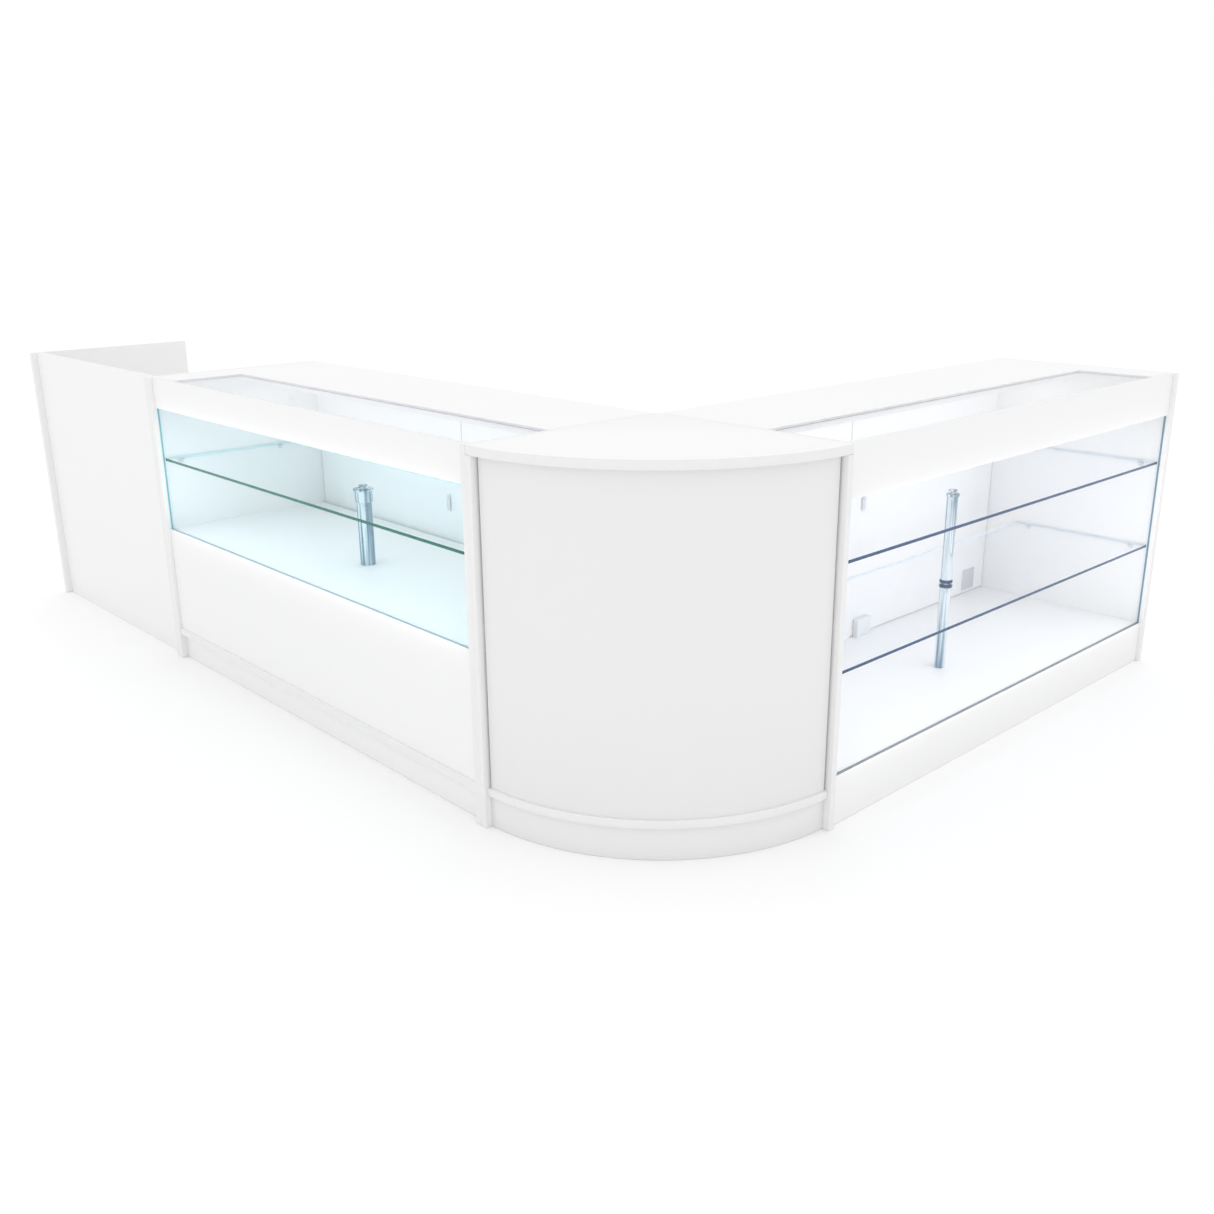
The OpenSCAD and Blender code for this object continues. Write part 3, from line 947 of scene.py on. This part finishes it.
@dataclass
class RearDoors:
    """The four rear doors with their hinges, locks, screws and lock roses."""

    board_round: float = BOARD_ROUND
    metal_round: float = METAL_ROUND
    screw_head: float = 3.2 * MM
    screw_dome: float = 0.7 * MM
    screw_sides: int = 16
    screw_smooth: float = 40.0
    rose_outer: float = 17.5 * MM
    rose_inner: float = 8.6 * MM
    rose_thick: float = 0.35 * MM
    rose_sides: int = 48
    hinge_half: float = 35 * MM
    screw_step: float = 20 * MM
    door_leaf_mid: float = 20 * MM
    frame_leaf_mid: float = 10.3 * MM
    leaf_thick: float = 2 * MM

    def build(self) -> None:
        """Dress the doors, hinges and locks, then add screws and roses."""
        for side in Side:
            for which in ("near", "far"):
                self.build_door(Arm(side), f"{side.value}_{which}")
        self.build_frame_screws()

    def build_door(self, arm: Arm, name: str) -> None:
        """Dress one door and what rides on it.

        Args:
            arm: The frame of the door's counter.
            name: The start of the door's node names.
        """
        dress(
            name + "_door", (Finish.BOARD, Finish.BOARD_EDGE), self.board_round
        )
        fittings = (("_hinges", "hinge_steel", Finish.ZINC), ("_lock", "lock_metal", Finish.NICKEL))
        for part, slot, finish in fittings:
            dress(name + part, (finish,), self.metal_round, one_slot, smooth=SMOOTH_BELOW)
        mesh = bmesh.new()
        for place in self.screw_places(arm, name, -self.door_leaf_mid):
            self.screw_into(mesh, arm, place)
        piece = new_piece(name + "_door_screws", mesh, (Finish.ZINC, Finish.RECESS))
        smooth_by_angle(piece, self.screw_smooth)
        ride_on(piece, body_of_node(name + "_door"))
        self.build_rose(arm, name)

    def screw_places(self, arm: Arm, name: str, offset: float) -> list[Vector]:
        """List the screws of a door's hinge leaves on one side of the pins.

        Args:
            arm: The frame of the door's counter.
            name: The start of the door's node names.
            offset: How far the screws lie from the pin, along the counter.

        Returns:
            Places in the arm's frame.
        """
        pin = next(j for j in frame["joints"] if j["name"] == name + "_door_swing")["pos_m"]
        along = arm.local(Vector(pin)).x + offset
        low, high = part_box(name + "_hinges")
        places = []
        for middle in (low.z + self.hinge_half, high.z - self.hinge_half):
            for step in (-1, 0, 1):
                places.append(Vector((along, self.leaf_thick, middle + step * self.screw_step)))
        return places

    def screw_into(self, mesh: bmesh.types.BMesh, arm: Arm, place: Vector) -> None:
        """Add a cross-head screw, seen on a leaf's outer face, to a mesh; its cross recess is a
        near-black raised cross, painted shade.
        """
        at = arm.world(*place)
        out = arm.world(place.x, place.y + 1.0, place.z) - at
        r, dome = self.screw_head, self.screw_dome
        outline = [(r, 0.0), (r * 0.94, dome * 0.5), (r * 0.6, dome * 0.9), (0.0, dome)]
        lathe_into(mesh, outline, at, out, self.screw_sides)
        # The cross recess is two near-black bars on the dome: painted shade standing in for the
        # hollow.
        half, thin, lift = r * 0.55, r * 0.09, dome * 1.02
        for long_axis in (0, 2):
            reach = [thin, 0.0, thin]
            reach[long_axis] = half
            low = (place.x - reach[0], place.y + dome * 0.5, place.z - reach[2])
            high = (place.x + reach[0], place.y + lift, place.z + reach[2])
            arm.slab(mesh, low, high, 1)

    def build_frame_screws(self) -> None:
        """Add the screws of the hinge leaves on the uprights and far side panels."""
        mesh = bmesh.new()
        for side in Side:
            arm = Arm(side)
            for which in ("near", "far"):
                for place in self.screw_places(
                    arm, f"{side.value}_{which}", self.frame_leaf_mid
                ):
                    self.screw_into(mesh, arm, place)
        piece = new_piece("frame_hinge_screws", mesh, (Finish.ZINC, Finish.RECESS))
        smooth_by_angle(piece, self.screw_smooth)
        ride_on(piece, ROOT)

    def build_rose(self, arm: Arm, name: str) -> None:
        """Add the thin rose that the lock's knob stands on."""
        turn = next(j for j in frame["joints"] if j["name"] == name + "_lock_turn")["pos_m"]
        centre = arm.local(Vector(turn))
        at = arm.world(centre.x, 0.0, centre.z)
        out = arm.world(centre.x, 1.0, centre.z) - at
        a, b, t = self.rose_inner, self.rose_outer, self.rose_thick
        outline = [(a, 0.0), (b, 0.0), (b, t * 0.6), (b - t, t), (a, t), (a, 0.0)]
        mesh = bmesh.new()
        lathe_into(mesh, outline, at, out, self.rose_sides)
        piece = new_piece(name + "_lock_rose", mesh, (Finish.NICKEL,))
        smooth_by_angle(piece, SMOOTH_BELOW)
        ride_on(piece, body_of_node(name + "_door"))


@dataclass
class TillBlock:
    """The block with a sunk worktop at the end of the left arm."""

    board_round: float = BOARD_ROUND
    boards: tuple[str, ...] = (
        "till_near_side",
        "till_far_side",
        "till_front",
        "till_worktop",
        "till_shelf",
        "till_base_board",
        "till_kickboard",
    )

    def build(self) -> None:
        """Dress every board of the block."""
        for node in self.boards:
            dress(node, (Finish.BOARD, Finish.BOARD_EDGE), self.board_round)


@dataclass
class SharedFittings:
    """Brackets, collars, frame hinges, catches and connector bolts."""

    metal_round: float = METAL_ROUND
    catch_round: float = 1.2 * MM
    bolt_round: float = 0.8 * MM

    def build(self) -> None:
        """Dress each group of fittings."""
        for node in ("shelf_brackets", "hinge_frame_leaves", "hinge_pins"):
            dress(
                node,
                (Finish.ZINC,),
                self.metal_round,
                one_slot,
                smooth=SMOOTH_BELOW,
            )
        dress(
            "post_collars",
            (Finish.DARK_CHROME, Finish.CHROME),
            self.metal_round,
            self.collar_rule,
            smooth=SMOOTH_BELOW,
        )
        moulded = (("door_catches", self.catch_round), ("connector_bolts", self.bolt_round))
        for node, radius in moulded:
            dress(node, (Finish.PLASTIC,), radius, one_slot, smooth=SMOOTH_BELOW)

    @staticmethod
    def collar_rule(face: bmesh.types.BMFace) -> int:
        """Give slot 0, chrome with a painted dark reflection, to the collars between the two
        right-hand posts and slot 1 to the rest.
        """
        low_post, high_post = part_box("right_low_post"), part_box("right_high_post")
        at = face.calc_center_median()
        between = low_post[1].z - MM < at.z < high_post[0].z + MM
        beside = (at - low_post[0]).xy.length < 0.1
        return 0 if between and beside else 1


# ---------------------------------------------------------------------- studio


@dataclass
class Studio:
    """The floor, the light and the camera."""

    floor_size: float = 120.0
    floor_colour: Colour = (0.97, 0.97, 0.97)
    floor_drop: float = 0.5 * MM
    sky: float = 1.0
    panes_deep: int = 32
    sun: float = 0.32
    sun_spread: float = 100.0
    sun_height: float = 5.0
    front_light: float = 1.0
    front_from: tuple[float, float, float] = (-3.6, -1.6, 0.1)
    front_size: tuple[float, float] = (4.0, 1.4)
    case_inset: float = 30 * MM
    case_lights: tuple[tuple[float, float], ...] = ((1.5, 0.6), (2.2, 0.65))
    camera_at: tuple[float, float, float] = (-2.613, -3.081, 1.366)
    heading: float = 47.0
    pitch: float = -18.0
    roll: float = -0.5
    lens: float = 36.09
    sensor: float = 36.0
    far_clip: float = 300.0

    def build(self) -> None:
        """Build everything around the counter."""
        self.build_floor()
        self.build_sky()
        self.build_lights()
        self.build_camera()

    def build_floor(self) -> None:
        """Lay a pale floor under the counter."""
        graph = Graph("pale_floor")
        grain = graph.noise(3.0, 3.0)
        shader = graph.add(
            "ShaderNodeBsdfPrincipled",
            None,
            {
                "Base Color": graph.blend(
                    grain, self.floor_colour, shade(self.floor_colour, 0.995)
                ),
                "Roughness": 0.9,
                "Specular IOR Level": 0.1,
            },
        )
        material = graph.close(shader.outputs[0])
        mesh = bmesh.new()
        half = self.floor_size / 2
        bmesh.ops.create_grid(mesh, x_segments=2, y_segments=2, size=half)
        data = bpy.data.meshes.new("floor")
        mesh.to_mesh(data)
        mesh.free()
        data.materials.append(material)
        floor = bpy.data.objects.new("floor", data)
        floor.location = (0.0, 0.0, -self.floor_drop)
        bpy.context.scene.collection.objects.link(floor)

    def build_sky(self) -> None:
        """Surround the counter with even white light."""
        world = bpy.data.worlds.new("studio")
        world.use_nodes = True
        background = world.node_tree.nodes["Background"]
        background.inputs["Color"].default_value = rgba(WHITE)
        background.inputs["Strength"].default_value = self.sky
        bpy.context.scene.world = world
        bpy.context.scene.view_settings.view_transform = "Standard"
        bpy.context.scene.cycles.transparent_max_bounces = self.panes_deep

    def add_area(
        self, name: str, at: Vector, size: tuple[float, float], power: float, turn: Quaternion
    ) -> None:
        """Add a soft panel of light that neither the camera nor a reflection sees.

        Args:
            name: The light's name.
            at: Where its middle is.
            size: Its width and height.
            power: Its power, in watts.
            turn: How it is turned from facing down.
        """
        data = bpy.data.lights.new(name, "AREA")
        data.shape = "RECTANGLE"
        data.size, data.size_y = size
        data.energy = power
        self.hang(name, data, at, turn)

    def hang(self, name: str, data: bpy.types.Light, at: Vector, turn: Quaternion) -> None:
        """Put a light in the scene, unseen by the camera and by reflections."""
        light = bpy.data.objects.new(name, data)
        light.location = at
        light.rotation_mode = "QUATERNION"
        light.rotation_quaternion = turn
        light.visible_camera = False
        light.visible_glossy = False
        bpy.context.scene.collection.objects.link(light)

    def build_lights(self) -> None:
        """Light the counter from above and from the customer's side, and inside each case."""
        low, high = CAD_BOX
        middle = (low + high) / 2
        above = bpy.data.lights.new("overhead", "SUN")
        above.energy = self.sun
        above.angle = math.radians(self.sun_spread)
        self.hang("overhead", above, middle + Vector((0.0, 0.0, self.sun_height)), Quaternion())
        front = middle + Vector(self.front_from)
        aim = (middle - front).to_track_quat("-Z", "Y")
        self.add_area("front_fill", front, self.front_size, self.front_light, aim)
        for side, (from_front, from_top) in zip(Side, self.case_lights):
            self.light_case(Arm(side), from_front, from_top)

    def light_case(self, arm: "Arm", from_front: float, from_top: float) -> None:
        """Fill one glazed case with soft light.

        Args:
            arm: The frame of the case's counter.
            from_front: Power of the light just outside the front pane, in watts.
            from_top: Power of the light under the worktop, in watts.
        """
        name = arm.side.value
        low, high = arm.box(name + "_front_glass")
        inset = self.case_inset
        at = arm.world((low.x + high.x) / 2, low.y - inset, (low.z + high.z) / 2)
        inward = arm.world(0.0, 1.0, 0.0) - arm.world(0.0, 0.0, 0.0)
        turn = inward.to_track_quat("-Z", "Y")
        size = (high.x - low.x - 2 * inset, high.z - low.z - 2 * inset)
        self.add_area(name + "_case_fill", at, size, from_front, turn)
        top_low, top_high = arm.box(name + "_worktop")
        at = arm.world((low.x + high.x) / 2, (top_low.y + top_high.y) / 2, top_low.z - inset)
        size = (high.x - low.x - 2 * inset, top_high.y - top_low.y - 4 * inset)
        if arm.side is Side.LEFT:
            size = (size[1], size[0])
        self.add_area(name + "_case_top", at, size, from_top, Quaternion())

    def build_camera(self) -> None:
        """Set the camera at a standing customer's view of the corner."""
        heading, pitch, roll = (math.radians(a) for a in (self.heading, self.pitch, self.roll))
        forward = Vector(
            (
                math.cos(heading) * math.cos(pitch),
                math.sin(heading) * math.cos(pitch),
                math.sin(pitch),
            )
        )
        level = Vector((math.sin(heading), -math.cos(heading), 0.0))
        upward = level.cross(forward)
        right = math.cos(roll) * level + math.sin(roll) * upward
        top = math.cos(roll) * upward - math.sin(roll) * level
        turn = Matrix((right, top, -forward)).transposed()
        data = bpy.data.cameras.new("camera")
        data.lens = self.lens
        data.sensor_width = self.sensor
        data.clip_end = self.far_clip
        camera = bpy.data.objects.new("camera", data)
        camera.matrix_world = Matrix.Translation(self.camera_at) @ turn.to_4x4()
        bpy.context.scene.collection.objects.link(camera)
        bpy.context.scene.camera = camera


def main() -> None:
    """Build the studio and then the counter, unit by unit."""
    Studio().build()
    CornerUnit().build()
    shared_boards = (
        "near_side",
        "far_side",
        "fascia",
        "worktop",
        "end_board",
        "deck",
        "plinths",
        "stile",
    )
    DisplayCounter(
        Side.LEFT,
        shelves=("shelf",),
        posts=("post",),
        boards=shared_boards + ("front_panel", "base_board"),
        pane=Finish.LEFT_PANE,
        top=Finish.LEFT_TOP,
        shelf=Finish.LEFT_SHELF,
        edge=Finish.LEFT_EDGE,
        side_edge=Finish.LEFT_END,
        pane_edge=Finish.LEFT_PANE_END,
        seal=Finish.LEFT_SEAL,
        gasket=Finish.LEFT_GASKET,
    ).build()
    DisplayCounter(
        Side.RIGHT,
        shelves=("low_shelf", "high_shelf"),
        posts=("low_post", "high_post"),
        boards=shared_boards,
        pane=Finish.RIGHT_PANE,
        top=Finish.RIGHT_TOP,
        shelf=Finish.RIGHT_SHELF,
        edge=Finish.RIGHT_EDGE,
        side_edge=Finish.RIGHT_END,
        pane_edge=Finish.RIGHT_PANE_END,
        seal=Finish.RIGHT_SEAL,
        gasket=Finish.RIGHT_GASKET,
    ).build()
    RearDoors().build()
    TillBlock().build()
    SharedFittings().build()


if __name__ == "__main__":
    main()
